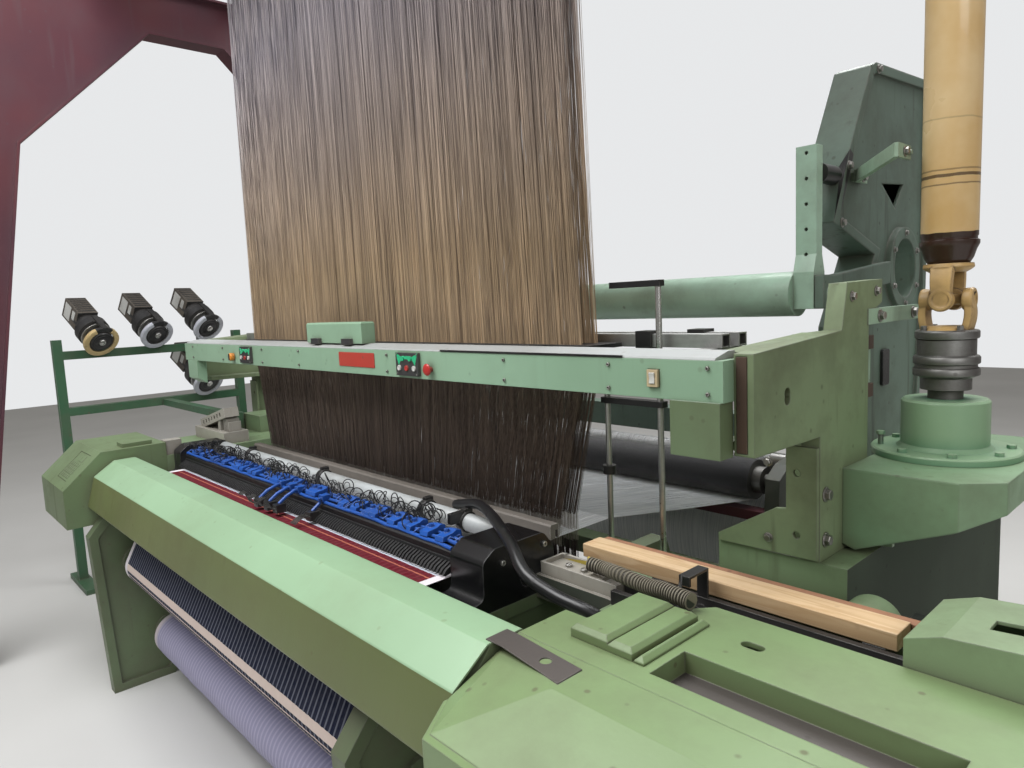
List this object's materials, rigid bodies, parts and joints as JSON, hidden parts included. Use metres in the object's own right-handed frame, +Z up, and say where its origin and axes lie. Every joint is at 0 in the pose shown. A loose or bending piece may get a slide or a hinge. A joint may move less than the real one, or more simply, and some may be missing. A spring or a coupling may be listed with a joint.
{
  "type": "power loom",
  "caption": "Industrial weaving machine with a wide front cover, an upper control beam, a tall cord harness under an overhead head, an upright joint shaft and a side stand of weft feeders.",
  "frame": {"origin": "on the floor under the middle of the whole machine's box", "axes": "+X along the weaving width towards the drive side, +Y from the weaver's side to the warp side, +Z up"},
  "size_m": [5.4262, 3.1748, 4.14],
  "materials": {
    "machine_green": "semi-gloss",
    "casting_green": "painted, oily",
    "black_steel": "satin",
    "bright_steel": "satin",
    "gantry_red": "primer",
    "head_grey": "satin",
    "blue_rail": "satin",
    "pale_tube": "matt",
    "pine": "raw",
    "cloth_maroon": "woven",
    "cloth_white": "woven",
    "warp_yarn": "yarn",
    "black_yarn": "fuzzy",
    "harness_cord": "cord",
    "cream_tube": "gloss, smeared",
    "hose_rubber": "matt",
    "button_white": "gloss",
    "button_red": "gloss",
    "knob_orange": "satin",
    "switch_beige": "satin"
  },
  "bodies": {
    "machine": {"left_frame": "casting_green", "right_frame": "casting_green", "cross_beams": "casting_green", "front_cover": "machine_green", "right_end_cover": "machine_green", "left_housing": "machine_green", "right_housing": "machine_green", "right_table": "machine_green", "table_lids": "machine_green", "end_guard": "machine_green", "guide_channel": "black_steel", "plank": "pine", "console": "machine_green", "cloth": "cloth_maroon", "cutter_bar": "blue_rail", "yarn_tube": "pale_tube", "cheek_castings": "black_steel", "slide_box": "bright_steel", "warp_sheet": "warp_yarn", "rear_castings": "casting_green", "comber_frame": "bright_steel", "spring_box": "casting_green", "upper_beam": "machine_green", "beam_cover": "head_grey", "control_boxes": "black_steel", "left_arm": "casting_green", "right_arm": "casting_green", "gearbox": "casting_green", "turret": "machine_green", "beam_stands": "casting_green", "guard_rods": "bright_steel", "gantry": "gantry_red", "jacquard_head": "head_grey", "feeder_stand": "casting_green", "weft_selector": "bright_steel", "hoses": "hose_rubber"},
    "take_up_roller": {"take_up_roller": "black_yarn"},
    "cloth_roll": {"cloth_roll": "cloth_white"},
    "warp_beam": {"warp_beam": "warp_yarn"},
    "back_roller": {"back_roller": "black_yarn"},
    "sley": {"sley": "bright_steel", "reed": "bright_steel"},
    "projectile": {"projectile": "bright_steel"},
    "swing_tube": {"swing_tube": "machine_green"},
    "harness_front": {"harness_front": "harness_cord"},
    "harness_rear": {"harness_rear": "harness_cord"},
    "drive_shaft": {"drive_shaft": "cream_tube"},
    "feeder_flyer_1": {"feeder_flyer_1": "bright_steel"},
    "feeder_flyer_2": {"feeder_flyer_2": "bright_steel"},
    "feeder_flyer_3": {"feeder_flyer_3": "bright_steel"},
    "feeder_flyer_4": {"feeder_flyer_4": "bright_steel"},
    "button_l1": {"button_l1": "button_white"},
    "button_l2": {"button_l2": "button_red"},
    "button_l3": {"button_l3": "button_white"},
    "button_r1": {"button_r1": "button_white"},
    "button_r2": {"button_r2": "button_red"},
    "button_r3": {"button_r3": "button_white"},
    "stop_mushroom": {"stop_mushroom": "button_red"},
    "setting_knob": {"setting_knob": "knob_orange"},
    "light_switch": {"light_switch": "switch_beige"}
  },
  "joints": [
    {"name": "take_up_turn", "type": "hinge", "parent": "machine", "child": "take_up_roller", "pos_m": [0.14307, -0.8225, 0.56], "axis": [1, 0, 0], "continuous": true},
    {"name": "cloth_roll_turn", "type": "hinge", "parent": "machine", "child": "cloth_roll", "pos_m": [0.14307, -0.7225, 0.215], "axis": [1, 0, 0], "continuous": true},
    {"name": "warp_beam_turn", "type": "hinge", "parent": "machine", "child": "warp_beam", "pos_m": [0.14307, 1.2375, 0.56], "axis": [1, 0, 0], "continuous": true},
    {"name": "back_roller_turn", "type": "hinge", "parent": "machine", "child": "back_roller", "pos_m": [0.14307, 0.8825, 0.878], "axis": [1, 0, 0], "continuous": true},
    {"name": "sley_rock", "type": "hinge", "parent": "machine", "child": "sley", "pos_m": [0.14307, -0.2625, 0.43], "axis": [1, 0, 0], "range_deg": [0, 8]},
    {"name": "projectile_flight", "type": "slide", "parent": "sley", "child": "projectile", "axis": [1, 0, 0], "range_m": [0, 1.83]},
    {"name": "swing_tube_rock", "type": "hinge", "parent": "machine", "child": "swing_tube", "pos_m": [0.14307, 0.3955, 1.59], "axis": [1, 0, 0], "range_deg": [0, 6]},
    {"name": "harness_front_lift", "type": "slide", "parent": "machine", "child": "harness_front", "axis": [0, 0, 1], "range_m": [-0.03, 0.03]},
    {"name": "harness_rear_lift", "type": "slide", "parent": "machine", "child": "harness_rear", "axis": [0, 0, 1], "range_m": [-0.03, 0.03]},
    {"name": "drive_shaft_turn", "type": "hinge", "parent": "machine", "child": "drive_shaft", "pos_m": [1.87307, 0.4115, 1.5], "axis": [0, 0, 1], "continuous": true},
    {"name": "feeder_1_turn", "type": "hinge", "parent": "machine", "child": "feeder_flyer_1", "pos_m": [-2.37693, -0.5405, 1.478], "axis": [0.7965, 0.1912, -0.5736], "continuous": true},
    {"name": "feeder_2_turn", "type": "hinge", "parent": "machine", "child": "feeder_flyer_2", "pos_m": [-2.37693, -0.2245, 1.501], "axis": [0.7965, 0.1912, -0.5736], "continuous": true},
    {"name": "feeder_3_turn", "type": "hinge", "parent": "machine", "child": "feeder_flyer_3", "pos_m": [-2.37693, 0.0975, 1.527], "axis": [0.7965, 0.1912, -0.5736], "continuous": true},
    {"name": "feeder_4_turn", "type": "hinge", "parent": "machine", "child": "feeder_flyer_4", "pos_m": [-2.37693, 0.0645, 1.163], "axis": [0.7965, 0.1912, -0.5736], "continuous": true},
    {"name": "button_l1_press", "type": "slide", "parent": "machine", "child": "button_l1", "axis": [0, 1, 0], "range_m": [0, 0.004], "stiffness_N_per_m": 300},
    {"name": "button_l2_press", "type": "slide", "parent": "machine", "child": "button_l2", "axis": [0, 1, 0], "range_m": [0, 0.004], "stiffness_N_per_m": 300},
    {"name": "button_l3_press", "type": "slide", "parent": "machine", "child": "button_l3", "axis": [0, 1, 0], "range_m": [0, 0.004], "stiffness_N_per_m": 300},
    {"name": "button_r1_press", "type": "slide", "parent": "machine", "child": "button_r1", "axis": [0, 1, 0], "range_m": [0, 0.004], "stiffness_N_per_m": 300},
    {"name": "button_r2_press", "type": "slide", "parent": "machine", "child": "button_r2", "axis": [0, 1, 0], "range_m": [0, 0.004], "stiffness_N_per_m": 300},
    {"name": "button_r3_press", "type": "slide", "parent": "machine", "child": "button_r3", "axis": [0, 1, 0], "range_m": [0, 0.004], "stiffness_N_per_m": 300},
    {"name": "stop_mushroom_press", "type": "slide", "parent": "machine", "child": "stop_mushroom", "axis": [0, 1, 0], "range_m": [0, 0.004], "stiffness_N_per_m": 300},
    {"name": "setting_knob_turn", "type": "hinge", "parent": "machine", "child": "setting_knob", "pos_m": [-0.80793, -0.3825, 1.412], "axis": [0, 1, 0], "range_deg": [-120, 120]},
    {"name": "light_switch_rock", "type": "hinge", "parent": "machine", "child": "light_switch", "pos_m": [1.52907, -0.3645, 1.424], "axis": [0, 0, 1], "range_deg": [-8, 8]}
  ],
  "couplings": [
    {"joint": "take_up_turn", "follows": "cloth_roll_turn", "ratio": -1.2667},
    {"joint": "back_roller_turn", "follows": "warp_beam_turn", "ratio": -3.8462},
    {"joint": "harness_rear_lift", "follows": "harness_front_lift", "ratio": -1}
  ]
}
